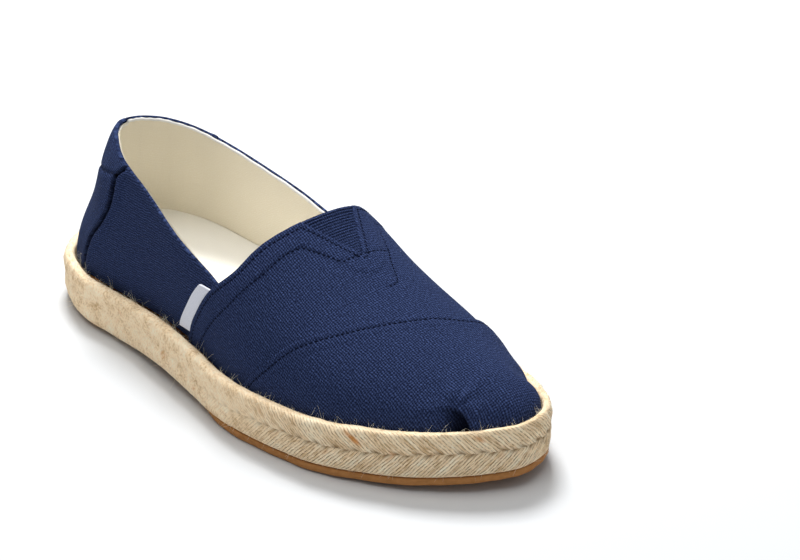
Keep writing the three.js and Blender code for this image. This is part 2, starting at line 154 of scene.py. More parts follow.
def follow(table, column, at):
    """Value of a column on a smooth curve that keeps flat stretches flat."""
    x = table[:, 0]
    y = table[:, column]
    secants = np.diff(y) / np.diff(x)
    before, after = secants[:-1], secants[1:]
    total = np.where(before + after == 0, 1, before + after)
    inner = np.where(before * after <= 0, 0, 2 * before * after / total)
    slopes = np.concatenate([secants[:1], inner, secants[-1:]])
    at = np.clip(at, x[0], x[-1])
    i = np.clip(np.searchsorted(x, at, side="left") - 1, 0, len(x) - 2)
    run = x[i + 1] - x[i]
    u = (at - x[i]) / run
    v = 1 - u
    ends = y[i] * v * v * (1 + 2 * u) + y[i + 1] * u * u * (1 + 2 * v)
    return ends + run * u * v * (slopes[i] * v - slopes[i + 1] * u)


def smooth(t):
    t = np.clip(t, 0, 1)
    return t * t * (3 - 2 * t)


def bell(distance, width):
    return np.exp(-((distance / width) ** 2))


def unit(vectors):
    return vectors / np.linalg.norm(vectors, axis=-1, keepdims=True)


def shares(count):
    return np.linspace(0, 1, count + 1)


def lengths_along(points):
    """Length up to each point of a line, from its first."""
    return np.concatenate([[0], np.cumsum(np.linalg.norm(np.diff(points, axis=0), axis=1))])


TURNED = OUTLINE.copy()
TURNED[:, 0] = np.arccos(1 - 2 * OUTLINE[:, 0])


def outline_at(turn):
    turn = np.mod(turn, 2 * PI)
    outer = turn <= PI
    angle = np.where(outer, turn, 2 * PI - turn)
    along = (1 - np.cos(angle)) / 2
    ball = follow(WIDTH_BLEND, 1, along)
    width = ball * BALL_WIDTH + (1 - ball) * HEEL_WIDTH
    share = np.where(outer, -follow(TURNED, 1, angle), follow(TURNED, 2, angle))
    return np.stack([along * SOLE_LENGTH, share * width], -1)


def along_at(turn):
    return (1 - np.cos(turn)) / 2


def inset_at(turn, inset):
    step = 0.01
    tangent = unit(outline_at(turn + step) - outline_at(turn - step))
    inward = np.stack([-tangent[..., 1], tangent[..., 0]], -1)
    return outline_at(turn) + inward * np.asarray(inset)[..., None]


def ground_at(x):
    along = x / SOLE_LENGTH
    arch = follow(UNDERSIDE, 1, along) * ARCH_LIFT
    return arch + follow(UNDERSIDE, 2, along) * TOE_SPRING


def rim_at(along):
    return RIM_WIDTH * follow(EDGES, 2, along)


def upper_inset(along):
    return rim_at(along) + GAP + TOE_CANVAS + GAP


def ridge_height(x):
    along = x / SOLE_LENGTH
    instep = follow(CROWN, 1, along) * (INSTEP_HEIGHT - FEATHER)
    return FEATHER + instep + follow(CROWN, 2, along) * (TOE_BOX_HEIGHT - FEATHER)


def last_at(turn, rise):
    """Points of the last: turn goes round the sole, rise from the feather line to the ridge."""
    turn, rise = np.broadcast_arrays(turn, rise)
    along = along_at(turn)
    start = inset_at(turn, upper_inset(along))
    ridge_x = SOLE_LENGTH * (RIDGE_START + (RIDGE_END - RIDGE_START) * along)
    ridge_y = BALL_WIDTH * follow(CROWN, 3, ridge_x / SOLE_LENGTH)
    square = follow(CROWN, 4, start[..., 0] / SOLE_LENGTH)
    inward = 1 - np.maximum(np.cos(rise), 0) ** (2 / square)
    upward = np.maximum(np.sin(rise), 0) ** (2 / square)
    x = start[..., 0] + (ridge_x - start[..., 0]) * inward
    y = start[..., 1] + (ridge_y - start[..., 1]) * inward
    low = ground_at(start[..., 0]) + FEATHER
    z = ridge_height(x) - (ridge_height(start[..., 0]) - low) * (1 - upward)
    return np.stack([x, y, z], -1)


def slopes_at(turn, rise):
    step = 0.004
    side = last_at(turn + step, rise) - last_at(turn - step, rise)
    high = np.clip(rise + step, 0, PI / 2 - 0.003)
    low = np.clip(high - 2 * step, 0.003, PI / 2)
    up = last_at(turn, high) - last_at(turn, low)
    return side / (2 * step), up / (high - low)[..., None]


def normal_at(turn, rise):
    side, up = slopes_at(turn, np.minimum(rise, PI / 2 - 0.04))
    return unit(np.cross(side, up))


def surface(turn, rise):
    return last_at(turn, rise), normal_at(turn, rise)


# A coarse net of the last, to start a search from
NET_TURN, NET_RISE = np.meshgrid(
    np.linspace(0, 2 * PI, 361), np.linspace(0.01, PI / 2 - 0.01, 61)
)
NET = last_at(NET_TURN, NET_RISE).reshape(-1, 3)


def settle(points):
    """Turns and rises of the last's points nearest to the given ones."""
    nearest = [np.argmin(((NET - p) ** 2).sum(1)) for p in points]
    turn = NET_TURN.ravel()[nearest]
    rise = NET_RISE.ravel()[nearest]
    for _ in range(6):
        side, up = slopes_at(turn, rise)
        off = points - last_at(turn, rise)
        a = (side * side).sum(1)
        b = (side * up).sum(1)
        c = (up * up).sum(1)
        p = (side * off).sum(1)
        q = (up * off).sum(1)
        whole = a * c - b * b + 1e-9
        turn = turn + (c * p - b * q) / whole
        rise = np.clip(rise + (a * q - b * p) / whole, 0, PI / 2)
    return turn, rise


def curve_through(knots, step=0.8):
    """Evenly spaced points on a soft curve through a few knots."""
    knots = np.array(knots, float)
    padded = np.vstack([2 * knots[0] - knots[1], knots, 2 * knots[-1] - knots[-2]])
    parts = []
    for a, b, c, d in zip(padded, padded[1:], padded[2:], padded[3:]):
        t = np.linspace(0, 1, 12, endpoint=False)[:, None]
        bend = (2 * a - 5 * b + 4 * c - d) * t**2 + (3 * b - a - 3 * c + d) * t**3
        parts.append(0.5 * (2 * b + (c - a) * t + bend))
    points = np.vstack([*parts, knots[-1:]])
    return resampled(points, step)


def resampled(points, step):
    lengths = lengths_along(points)
    count = max(int(lengths[-1] / step), 2)
    at = np.linspace(0, lengths[-1], count + 1)
    return np.stack([np.interp(at, lengths, points[:, k]) for k in range(3)], -1)


def distance_to(points, curve):
    """Distance of each point of a grid from a curve given as close points."""
    flat = points.reshape(-1, 3)
    best = np.full(len(flat), 1e9)
    for start in range(0, len(curve), 64):
        part = curve[start : start + 64]
        square = (flat**2).sum(1)[:, None] - 2 * flat @ part.T + (part**2).sum(1)
        best = np.minimum(best, square.min(1))
    return np.sqrt(np.maximum(best, 0)).reshape(points.shape[:-1])


def first_crossing(turns, value):
    """Where each row's value first turns positive."""
    above = value > 0
    i = np.maximum(np.argmax(above, axis=1), 1)
    rows = np.arange(len(value))
    low, high = value[rows, i - 1], value[rows, i]
    return turns[i - 1] + (turns[i] - turns[i - 1]) * low / (low - high)


SCAN = np.linspace(0, PI, 1400)


def scan(rises, inner):
    turns = 2 * PI - SCAN if inner else SCAN
    return last_at(turns, rises[:, None])


def vamp_edge_turn(rises, inner):
    p = scan(rises, inner)
    edge = follow(VAMP_EDGE, 1, p[..., 2] / THROAT_HEIGHT)
    return first_crossing(SCAN, p[..., 0] - VAMP_FOOT_X - (THROAT_X - VAMP_FOOT_X) * edge)


NOTCH_X = THROAT_X + NOTCH_DEPTH
NOTCH_Y = BALL_WIDTH * follow(CROWN, 3, NOTCH_X / SOLE_LENGTH)


def notch_turn(rises, inner, grow=0.0):
    p = scan(rises, inner)
    slope = NOTCH_WIDTH / 2 / NOTCH_DEPTH
    edge = NOTCH_X + grow - np.abs(p[..., 1] - NOTCH_Y) / slope
    return first_crossing(SCAN, p[..., 0] - edge)


def toe_seam_turn(rises, inner):
    p = scan(rises, inner)
    side = 1 if inner else -1
    across = (p[..., 2] - side * p[..., 1]) / math.sqrt(2) / THROAT_HEIGHT
    table = INNER_SEAM if inner else OUTER_SEAM
    return first_crossing(SCAN, p[..., 0] - SOLE_LENGTH * follow(table, 1, across))


def unrolled(turn, rise):
    """Flat coordinates of the canvas, laid out from the ridge down."""
    turn, rise = np.broadcast_arrays(turn, rise)
    steps = 10
    left = PI / 2 - rise[..., None]
    points = last_at(turn[..., None], rise[..., None] + left * np.linspace(0, 1, steps))
    girth = np.linalg.norm(np.diff(points, axis=-2), axis=-1).sum(-1)
    across = points[..., 0, :2] - points[..., -1, :2]
    away = across / np.maximum(np.linalg.norm(across, axis=-1, keepdims=True), 1e-6)
    return points[..., -1, :2] + away * girth[..., None]


# Where the row's origin is from the heel's tip
shoe_low, shoe_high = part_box("outsole")
loop_turns = np.linspace(0, 2 * PI, 57)
loop = inset_at(loop_turns, RIM_WIDTH * follow(EDGES, 1, along_at(loop_turns)))
SHIFT = np.zeros(3)
for k in (0, 1):
    SHIFT[k] = (shoe_low[k] + shoe_high[k]) / 2 / MM - (loop[:, k].min() + loop[:, k].max()) / 2


# Materials


def new_material(name, color, roughness, sheen=0.0):
    material = bpy.data.materials.new(name)
    material.use_nodes = True
    shader = material.node_tree.nodes["Principled BSDF"]
    shader.inputs["Base Color"].default_value = (*color, 1)
    shader.inputs["Roughness"].default_value = roughness
    shader.inputs["Sheen Weight"].default_value = sheen
    shader.inputs["Sheen Roughness"].default_value = 0.45
    shader.inputs["Specular IOR Level"].default_value = 0.06
    return material


def add_node(material, kind, **values):
    node = material.node_tree.nodes.new("ShaderNode" + kind)
    for key, value in values.items():
        if hasattr(node, key):
            setattr(node, key, value)
        else:
            node.inputs[key.replace("_", " ")].default_value = value
    return node


def link(source, target):
    source.id_data.links.new(source, target)


def maths(material, operation, first, second=None):
    node = add_node(material, "Math", operation=operation)
    for socket, value in zip(node.inputs, (first, second)):
        if value is None:
            continue
        if isinstance(value, (int, float)):
            socket.default_value = value
        else:
            link(value, socket)
    return node.outputs[0]


def noise(material, scale, vector, detail=3.0):
    node = add_node(material, "TexNoise", Scale=scale, Detail=detail)
    link(vector, node.inputs["Vector"])
    return node.outputs[0]


def blended(material, share, first, second):
    """Mix of two colours, each a plain colour or a node's output."""
    node = add_node(material, "Mix", data_type="RGBA")
    link(share, node.inputs[0])
    for socket, value in zip(node.inputs[6:8], (first, second)):
        if isinstance(value, tuple):
            socket.default_value = (*value, 1)
        else:
            link(value, socket)
    return node.outputs[2]


def wire(material, color, height, strength, distance):
    """Join a colour and the height of a bump to the material's shader."""
    shader = material.node_tree.nodes["Principled BSDF"]
    link(color, shader.inputs["Base Color"])
    bump = add_node(material, "Bump", Strength=strength, Distance=distance)
    link(height, bump.inputs["Height"])
    link(bump.outputs[0], shader.inputs["Normal"])
    return material


def cloth(name, color, light, pitch, depth, roughness):
    """Woven cloth from flat coordinates in millimetres: ribs along the first, weaker ones across."""
    material = new_material(name, color, roughness)
    do = partial(maths, material)
    flat = add_node(material, "UVMap", uv_map="flat").outputs[0]
    split = add_node(material, "SeparateXYZ")
    link(flat, split.inputs[0])
    shift = do("MULTIPLY", noise(material, 0.3, flat, 2.0), 1.5 * pitch)
    waves = []
    for axis, size, share in ((1, pitch, 0.3), (0, 0.85 * pitch, 0.2)):
        angle = do("MULTIPLY", do("ADD", split.outputs[axis], shift), 2 * PI / size)
        waves.append(do("MULTIPLY", do("SINE", angle), share))
    humps = do("ADD", do("ADD", *waves), 0.5)
    uneven = do("MULTIPLY_ADD", noise(material, 1.6, flat), 2.2)
    uneven.node.inputs[2].default_value = -0.6
    uneven.node.use_clamp = True
    woven = blended(material, do("MULTIPLY", humps, uneven), color, light)
    shade = add_node(material, "Attribute", attribute_name="shade").outputs["Fac"]
    deep = tuple(0.15 * c for c in color)
    return wire(material, blended(material, shade, woven, deep), humps, 0.9, depth * MM)


NAVY = (0.0035, 0.0065, 0.026)
NAVY_LIGHT = (0.078, 0.122, 0.3)
canvas_top = cloth("canvas of the top", NAVY, NAVY_LIGHT, 0.98, 0.3, 0.9)
canvas_side = cloth("canvas of the side", NAVY, NAVY_LIGHT, 0.92, 0.3, 0.9)
lining_cloth = cloth("lining cloth", (0.88, 0.81, 0.66), (0.96, 0.92, 0.81), 0.8, 0.06, 0.95)
insole_cloth = cloth("insole cloth", (0.94, 0.92, 0.85), (0.98, 0.97, 0.94), 0.8, 0.06, 0.95)
white_edge = new_material("turned edge", (0.86, 0.85, 0.82), 0.85, 0.1)
thread_navy = new_material("thread", (0.0022, 0.0045, 0.017), 0.9)
tag_tape = cloth("tag tape", (0.7, 0.72, 0.8), (0.86, 0.87, 0.93), 0.6, 0.1, 0.8)
elastic = cloth("elastic", NAVY, NAVY_LIGHT, 0.9, 0.15, 0.9)
fibre = new_material("fibre", (1.0, 0.92, 0.74), 0.8)


def rubber_material():
    material = new_material("outsole rubber", (0.36, 0.17, 0.055), 0.62)
    mottle = noise(material, 420.0, add_node(material, "NewGeometry").outputs["Position"])
    ramp = add_node(material, "ValToRGB")
    ramp.color_ramp.elements[0].color = (0.32, 0.135, 0.04, 1)
    ramp.color_ramp.elements[1].color = (0.56, 0.27, 0.1, 1)
    link(mottle, ramp.inputs[0])
    return wire(material, ramp.outputs[0], mottle, 0.4, 0.3 * MM)


def jute_material(yarn, lean):
    """Jute: yarns leaning from the middle line, brown painted shade between them, uneven in tone, with
    orange flecks.
    """
    material = new_material("jute", (0.6, 0.47, 0.3), 0.9)
    do = partial(maths, material)
    times = partial(do, "MULTIPLY")
    plus = partial(do, "ADD")
    minus = partial(do, "SUBTRACT")
    rough = partial(noise, material)
    flat = add_node(material, "UVMap", uv_map="flat").outputs[0]
    split = add_node(material, "SeparateXYZ")
    link(flat, split.inputs[0])
    along, apart = split.outputs[:2]
    place = add_node(material, "NewGeometry").outputs["Position"]
    marks = ("painted_shade", "shown", "fleck")
    painted_shade, shown, fleck = (add_node(material, "Attribute", attribute_name=m).outputs["Fac"] for m in marks)

    # Number of the yarn, and how near a point is to the line between two
    wander = times(minus(rough(0.3, flat), 0.5), 1.2)
    leaned = plus(plus(along, times(do("ABSOLUTE", apart), lean)), wander)
    upper_row = do("GREATER_THAN", apart, 0)
    strand = plus(times(leaned, 1 / yarn), times(upper_row, 0.5))
    wave = do("ABSOLUTE", do("SINE", times(strand, PI)))
    between = do("POWER", minus(1.0, wave), 2.2)

    # Tone: streaks along the yarns, felt where they are worn away, and each yarn's own
    each = add_node(material, "TexWhiteNoise", noise_dimensions="1D")
    link(plus(do("FLOOR", strand), times(upper_row, 700.0)), each.inputs["W"])
    streaks = add_node(material, "CombineXYZ")
    link(times(strand, 4.5), streaks.inputs[0])
    link(times(apart, 0.45), streaks.inputs[1])
    felt = times(minus(0.82, shown), rough(1000.0, place))
    streak = plus(times(rough(1.0, streaks.outputs[0]), shown), felt)
    own = times(minus(each.outputs[0], 0.5), shown)
    tone = plus(plus(times(streak, 0.75), times(rough(160.0, place), 0.45)), times(own, 0.17))
    ramp = add_node(material, "ValToRGB")
    ramp.color_ramp.elements.new(0.53)
    tones = ((0.36, (0.62, 0.42, 0.225)), (0.53, (0.98, 0.77, 0.515)), (0.76, (1, 0.92, 0.71)))
    for stop, (position, color) in zip(ramp.color_ramp.elements, tones):
        stop.position = position
        stop.color = (*color, 1)
    link(tone, ramp.inputs[0])

    # Painted shade: the colour turns dark brown between the yarns, broken up in places, and where the
    # rope's mesh paints shade.
    broken = times(minus(rough(0.6, flat), 0.38), 5.0)
    broken.node.use_clamp = True
    shaded = do("MAXIMUM", times(times(between, shown), broken), painted_shade)
    color = blended(material, shaded, ramp.outputs[0], (0.26, 0.155, 0.07))
    color = blended(material, fleck, color, (0.62, 0.24, 0.055))
    height = plus(times(minus(1.0, between), shown), times(streak, 0.8))
    height = plus(height, times(rough(1500.0, place), 0.5))
    return wire(material, color, height, 1.0, 0.3 * MM)


# Meshes


def new_object(name, data):
    thing = bpy.data.objects.new(name, data)
    bpy.context.scene.collection.objects.link(thing)
    return thing


def make_mesh(name, points, faces, corner_uv, material, paint):
    mesh = bpy.data.meshes.new(name)
    mesh.from_pydata(((points + SHIFT) * MM).tolist(), [], faces)
    mesh.update()
    mesh.polygons.foreach_set("use_smooth", np.ones(len(mesh.polygons), bool))
    if corner_uv is not None:
        layer = mesh.uv_layers.new(name="flat")
        layer.data.foreach_set("uv", np.asarray(corner_uv, np.float32).ravel())
    for key, values in paint.items():
        attribute = mesh.attributes.new(key, "FLOAT", "POINT")
        attribute.data.foreach_set("value", np.asarray(values, np.float32))
    mesh.materials.append(material)
    return new_object(name, mesh)


def quads(index):
    """The four corners of each cell of a grid of numbers."""
    cells = [index[:-1, :-1], index[:-1, 1:], index[1:, 1:], index[1:, :-1]]
    return np.stack(cells, -1).reshape(-1, 4).tolist()


def grid_mesh(name, points, material, uv=None, wrap=False, paint=None):
    """Mesh of a grid of points, coinciding points joined. With wrap the last column meets the first."""
    rows, columns = points.shape[:2]
    index = np.arange(rows * columns).reshape(rows, columns)
    if wrap:
        index = np.hstack([index, index[:, :1]])
    corner = np.arange(rows * index.shape[1]).reshape(rows, -1)
    joined, place = np.unique(np.round(points.reshape(-1, 3), 3), axis=0, return_inverse=True)
    first = np.zeros(len(joined), int)
    first[place.ravel()] = np.arange(rows * columns)
    place = place.ravel()[index]
    faces = []
    kept = []
    for quad, corners in zip(quads(place), quads(corner)):
        keep = [k for k in range(4) if quad[k] not in quad[:k]]
        if len(keep) > 2:
            faces.append([quad[k] for k in keep])
            kept.extend(corners[k] for k in keep)
    flat = uv.reshape(-1, 2)[kept] if uv is not None else None
    painted = {key: values.ravel()[first] for key, values in (paint or {}).items()}
    return make_mesh(name, joined, faces, flat, material, painted)


def dress(piece, slot, *nodes):
    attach(piece, "root")
    if nodes:
        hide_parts(*nodes)
    return piece


def joined(grid, strip, axis, at):
    """Grid with a strip put on at its first row or column, or its last."""
    return np.concatenate([grid, strip] if at else [strip, grid], axis=axis)


def rolled(points, normals, lifts, ends, radius, floor):
    """Grid of lifted points with chosen edges rolled down to a floor. Each end is an axis, and 0 or -1."""
    grid = points + normals * lifts[..., None]
    for axis, at in ends:
        moved = np.moveaxis(np.stack([grid, normals]), 1 + axis, 1)
        edge, normal = moved[:, at]
        out = edge - moved[0][-2 if at else 1]
        out -= (out * normal).sum(-1, keepdims=True) * normal
        out /= np.maximum(np.linalg.norm(out, axis=-1, keepdims=True), 1e-6)
        strips = []
        for angle in (0.5, 1.0, 1.3):
            drop = radius * (1 - math.cos(angle))
            strips.append(edge + out * radius * math.sin(angle) - normal * drop)
        height = np.take(lifts, at, axis=axis)[..., None] - np.asarray(floor)[..., None]
        strips.append(edge - normal * height + out * radius)
        extra = np.stack(strips if at else strips[::-1])
        same = np.broadcast_to(normal, extra.shape)
        grid = np.moveaxis(joined(moved[0], extra, 0, at), 0, axis)
        normals = np.moveaxis(joined(moved[1], same, 0, at), 0, axis)
        lifts = joined(lifts, np.take(lifts, [at] * 4, axis=axis), axis, at)
        if np.ndim(floor) and axis:
            floor = 0.0
    return grid


def edge_padded(uv, ends):
    """Flat coordinates or paint widened as rolled() widens its grid."""
    for axis, at in ends:
        uv = joined(uv, np.take(uv, [at] * 4, axis=axis), axis, at)
    return uv


def cloth_piece(name, form, material, uv, shade, slot, *nodes):
    """Piece of cloth with rolled edges. form is what rolled() takes."""
    ends = form[3]
    paint = {"shade": edge_padded(shade, ends)}
    piece = grid_mesh(name, rolled(*form), material, edge_padded(uv, ends), paint=paint)
    return dress(piece, slot, *nodes)


def undulation(points, seed, size, amount):
    """Soft uneven swell of cloth, the same for the same place."""
    waves = np.random.default_rng(seed)
    total = np.zeros(points.shape[:-1])
    for _ in range(9):
        direction = waves.normal(size=3)
        direction /= np.linalg.norm(direction)
        length = size * waves.uniform(0.6, 1.8)
        total += np.sin(points @ direction * 2 * PI / length + waves.uniform(0, 2 * PI))
    return total * amount / 3


STITCH_DEPTH = 0.18


def at_length(lengths, values, s):
    return np.array([np.interp(s, lengths, values[:, k]) for k in range(3)])


def stitches(name, curve, lift_of, length=1.2, space=0.62, radius=0.27):
    """Short threads along a curve on the last, half sunk in cloth of a given lift."""
    turn, rise = settle(curve)
    points, normals = surface(turn, rise)
    lift = lift_of(points)
    lengths = lengths_along(points)
    vertices, faces = [], []
    sides = 6
    at = 0.4
    while at + length < lengths[-1]:
        for ring, share in enumerate((0, 0.12, 0.5, 0.88, 1)):
            s = at + share * length
            place = at_length(lengths, points, s)
            normal = at_length(lengths, normals, s)
            tangent = at_length(lengths, points, s + 0.3) - at_length(lengths, points, s - 0.3)
            tangent /= max(np.linalg.norm(tangent), 1e-6)
            side = np.cross(tangent, normal)
            arch = math.sin(PI * share)
            height = np.interp(s, lengths, lift) - 0.3 + 0.22 * arch
            size = radius * (0.35 + 0.65 * min(1, 2.5 * arch))
            for k in range(sides):
                angle = 2 * PI * k / sides
                reach = side * math.cos(angle) * size
                vertices.append(place + (reach + normal * (math.sin(angle) * size * 0.8 + height)))
            if ring:
                base = len(vertices) - 2 * sides
                for k in range(sides):
                    j = (k + 1) % sides
                    faces.append([base + k, base + j, base + sides + j, base + sides + k])
        at += length + space
    piece = make_mesh(name, np.array(vertices), faces, None, thread_navy, {})
    return dress(piece, "canvas")


# Curves of the seams on the last, from the heel's tip and the sole's axis
ROW_TWO = [
    (121.5, -37, 19), (124.4, -37.2, 24.3), (129.5, -37.6, 31.2), (133.8, -37.5, 36.2),
    (141.1, -35.8, 44.4), (147.4, -30.4, 53), (149.2, -27, 55.8), (150.7, -20.4, 60.3),
    (152.6, -14.6, 62.2),
]
ROW_TWO_INNER = [
    (152.6, 22, 62), (150.7, 27, 60), (149, 31, 55.8), (147, 33, 52), (141, 36.5, 44.4),
    (133.8, 37.5, 36.2), (129.5, 38, 31.2), (124.4, 37.5, 24.3), (121.5, 37, 19),
]
LEFT_V = [(152.7, -14.2, 62.3), (158.5, -10.2, 60.4), (164.7, -6, 57.8)]
RIGHT_V = [(152.8, 21.6, 60.5), (159, 18.2, 58.8), (165.4, 15.1, 56.4)]
CROSS_BAR = [(164.7, -6, 57.8), (165.2, 3.8, 58.3), (165.4, 15.1, 56.4)]
LOW_V = [(165.4, 15.1, 56.4), (171, 11.3, 54.5), (178.1, 7.8, 51.8), (179.9, 5.6, 51.2), (180.2, 1.4, 51.1)]
ELASTIC_END = [(150, -2, 66), (158, 3, 62), (172, 4, 55)]


def band_rows(count, pivot=None):
    """Rises from the feather to the ridge, one of them at the pivot."""
    if pivot is None:
        return np.linspace(0, PI / 2, count + 1)
    low = int(count * 0.72)
    return np.concatenate([np.linspace(0, pivot, low + 1), np.linspace(pivot, PI / 2, count - low + 1)[1:]])


def corner_rise(inner):
    """Rise at which the notch's edge meets the throat's."""
    rises = np.linspace(0.8, PI / 2, 400)
    gap = notch_turn(rises, inner) - vamp_edge_turn(rises, inner)
    return rises[np.argmax(gap > 0)]


def over_the_foot(rises, starts, ends, count, bias=1.0):
    """Rows up the outer side, over the ridge and down the inner side."""
    outer, inner = (spread(start, end, count, bias) for start, end in zip(starts, ends))
    turns = np.vstack([outer, 2 * PI - inner[::-1][1:]])
    both = np.concatenate([rises[0], rises[1][::-1][1:]])
    return turns, np.broadcast_to(both[:, None], turns.shape)


def spread(start, end, count, bias=1.0):
    t = shares(count) ** bias
    return start[:, None] + (end - start)[:, None] * t


def round_the_toe(turn_at, rises, count, grow=0.0):
    """Rows from a line on the outer side, round the toe, to its fellow on the inner side."""
    start, end = turn_at(rises, False), turn_at(rises, True)
    end = end + (start[-1] - end[-1]) * smooth(rises / (PI / 2) * 3 - 2)
    turns = spread(start - grow, 2 * PI - end + grow, count)
    return turns, np.broadcast_to(rises[:, None], turns.shape)


def offset_curve(turns, rises, distance):
    """A seam's line on the last, moved within the surface."""
    points, normals = surface(turns, rises)
    tangents = np.gradient(points, axis=0)
    side = unit(np.cross(normals, tangents))
    return last_at(*settle(points + side * distance))


PIVOT = (corner_rise(False), corner_rise(True))
VAMP_RISES = (band_rows(60 * FINE, PIVOT[0]), band_rows(60 * FINE, PIVOT[1]))
rear = [vamp_edge_turn(VAMP_RISES[i], bool(i)) for i in (0, 1)]
notch = [notch_turn(VAMP_RISES[i], bool(i)) for i in (0, 1)]
vamp_start = [np.maximum(rear[i], notch[i]) for i in (0, 1)]
seam = [toe_seam_turn(VAMP_RISES[i], bool(i)) for i in (0, 1)]
seam[1] = seam[1] + (seam[0][-1] - seam[1][-1]) * smooth(VAMP_RISES[1] / (PI / 2) * 3 - 2)
notch[1][-1] = notch[0][-1]
vamp_start[1][-1] = vamp_start[0][-1]


def vamp_lift(points, edge):
    """Lift of the vamp's cloth: double along its edge, and swollen over the elastic's end."""
    from_edge = distance_to(points, edge)
    lift = GAP + CANVAS + undulation(points, 3, 26, 0.16)
    lift = lift + 0.3 * smooth((9.2 - from_edge) / 1.6) * smooth((from_edge + 0.6) / 1.6)
    return lift + 0.25 * smooth(1 - distance_to(points, curve_through(ELASTIC_END)) / 16)


def make_vamp():
    ends = [seam[i] + 0.05 for i in (0, 1)]
    count = 75 * FINE
    turns, rises = over_the_foot(VAMP_RISES, vamp_start, ends, count, 1.25)
    points, normals = surface(turns, rises)
    edge = resampled(points[:, 0], 0.6)
    lift = vamp_lift(points, edge)
    rows = [offset_curve(turns[:, 0], rises[:, 0], -1.9)]
    rows += [curve_through(c) for c in (ROW_TWO, ROW_TWO_INNER, LEFT_V, RIGHT_V, CROSS_BAR, LOW_V)]
    shade = np.zeros(lift.shape)
    for curve in rows:
        near = bell(distance_to(points, curve), 0.6)
        lift = lift - STITCH_DEPTH * near
        shade = np.maximum(shade, 0.2 * near)
    across_front = smooth((1 - shares(count)) / 0.03)
    lift = np.where(across_front < 1, GAP + (lift - GAP) * (0.6 + 0.4 * across_front), lift)
    height = last_at(turns[:, 0], rises[:, 0])[:, 2]
    floor = np.where(height > COLLAR_DIP + 1.5, -WALL + 0.1, -0.2)
    form = (points, normals, lift, [(1, 0)], 0.45, floor)
    cloth_piece("vamp_cloth", form, canvas_top, unrolled(turns, rises), shade, "canvas", "vamp_panel")
    rows[0] = resampled(rows[0], 0.8)
    for i, curve in enumerate(rows):
        stitches(f"vamp_stitch_{i}", curve, lambda p: vamp_lift(p, edge))


def make_toe():
    turns, rises = round_the_toe(toe_seam_turn, band_rows(70 * FINE), 200 * FINE)
    points, normals = surface(turns, rises)
    edge = np.vstack([points[:, 0], points[::-1, -1]])
    edge_line = resampled(edge, 0.6)
    lift = toe_lift(points, edge_line)
    row = bell(distance_to(points, edge_line) - 2, 0.6)
    fold, shade = toe_folds(points)
    lift = lift - STITCH_DEPTH * row + fold
    shade = np.maximum(shade, 0.2 * row)
    form = (points, normals, lift, [(1, 0), (1, -1)], 0.45, 0.2)
    cloth_piece("toe_cloth", form, canvas_top, unrolled(turns, rises), shade, "canvas", "toe_panel")
    row = np.vstack(
        [
            offset_curve(turns[:, 0], rises[:, 0], -2),
            offset_curve(turns[::-1, -1], rises[::-1, -1], -2),
        ]
    )
    stitches("toe_stitch", resampled(row, 0.8), lambda p: toe_lift(p, edge_line))


def toe_lift(points, edge):
    lift = GAP + TOE_CANVAS + undulation(points, 11, 30, 0.14)
    lift = lift + 1.2 * bell(points[..., 0] - 205, 8) * smooth((points[..., 1] - 14) / 12)
    lift = lift - 1.3 * bell(points[..., 0] - 229, 5) * smooth((points[..., 1] - 12) / 8)
    return lift + 0.15 * smooth((6 - distance_to(points, edge)) / 2)


PLEAT_FOOT = np.array([235.2, -10.0, 18.0])
PLEAT_WAY = np.array([0.7, 0.71, 0.0])
PLEAT_WIDTH = 8.5
PLEAT_HEIGHT = 10.6


def toe_folds(points):
    """Lift and shade of the toe's pleat: a pocket under a rolled flap, with soft folds above."""
    across = (points - PLEAT_FOOT) @ PLEAT_WAY
    height = points[..., 2] - PLEAT_FOOT[2]
    ahead = smooth((points[..., 0] - 215) / 6)
    middle = across + PLEAT_WIDTH
    shape = (np.abs(middle / PLEAT_WIDTH) ** 3 + np.abs(height / PLEAT_HEIGHT) ** 3) ** (1 / 3)
    fade = smooth((across + 14) / 9) * ahead
    pocket = smooth((1 - shape) / 0.1) * fade
    flap = bell((shape - 1.22) * PLEAT_WIDTH, 1.7) * smooth((middle + 3) / 5) * ahead
    lift = 0.9 * flap - 2.6 * pocket * (0.45 + 0.55 * smooth((across + 7) / 7))
    shade = 0.85 * pocket * smooth((across + 13) / 9)
    top = PLEAT_FOOT + np.array([-5.5, -2.4, PLEAT_HEIGHT])
    near = np.linalg.norm(points - top, axis=-1)
    above = (points[..., 2] - top[2]) - 0.6 * (points[..., 0] - top[0])
    angle = np.arctan2((points - top) @ PLEAT_WAY, above)
    for way, size, width, length in (
        (-1.2, 0.32, 0.22, 30), (-0.65, -0.28, 0.2, 26), (-0.1, 0.34, 0.2, 28),
        (0.45, -0.26, 0.2, 24), (0.95, 0.32, 0.22, 24), (1.5, -0.4, 0.22, 18),
    ):
        ridge = size * bell(angle - way, width) * smooth(near / 6)
        lift = lift + ridge * smooth((length - near) / (0.7 * length)) * ahead
    return lift, shade


def make_gore():
    rises = [np.linspace(PIVOT[i] - 0.03, PI / 2, 30 * FINE) for i in (0, 1)]
    starts = [vamp_edge_turn(rises[i], bool(i)) for i in (0, 1)]
    ends = [notch_turn(rises[i], bool(i), 2.5) for i in (0, 1)]
    starts[1][-1] = starts[0][-1]
    ends[1][-1] = ends[0][-1]
    count = 60 * FINE
    ends = [np.maximum(ends[i], starts[i] + 0.004) for i in (0, 1)]
    turns, both = over_the_foot(rises, starts, ends, count)
    points, normals = surface(turns, both)
    from_edge = distance_to(points, resampled(points[:, 0], 0.6))
    rib = np.abs(np.sin(from_edge * PI / 1.15))
    lift = GAP + GORE - 0.2 + 0.4 * rib + 0.3 * bell(from_edge - 0.8, 0.9)
    form = (points, normals, lift, [(1, 0)], 0.4, np.full(len(points), -WALL + 0.1))
    shade = 0.75 * (1 - rib) ** 2
    cloth_piece("gore_cloth", form, elastic, unrolled(turns, both), shade, "elastic", "gore")


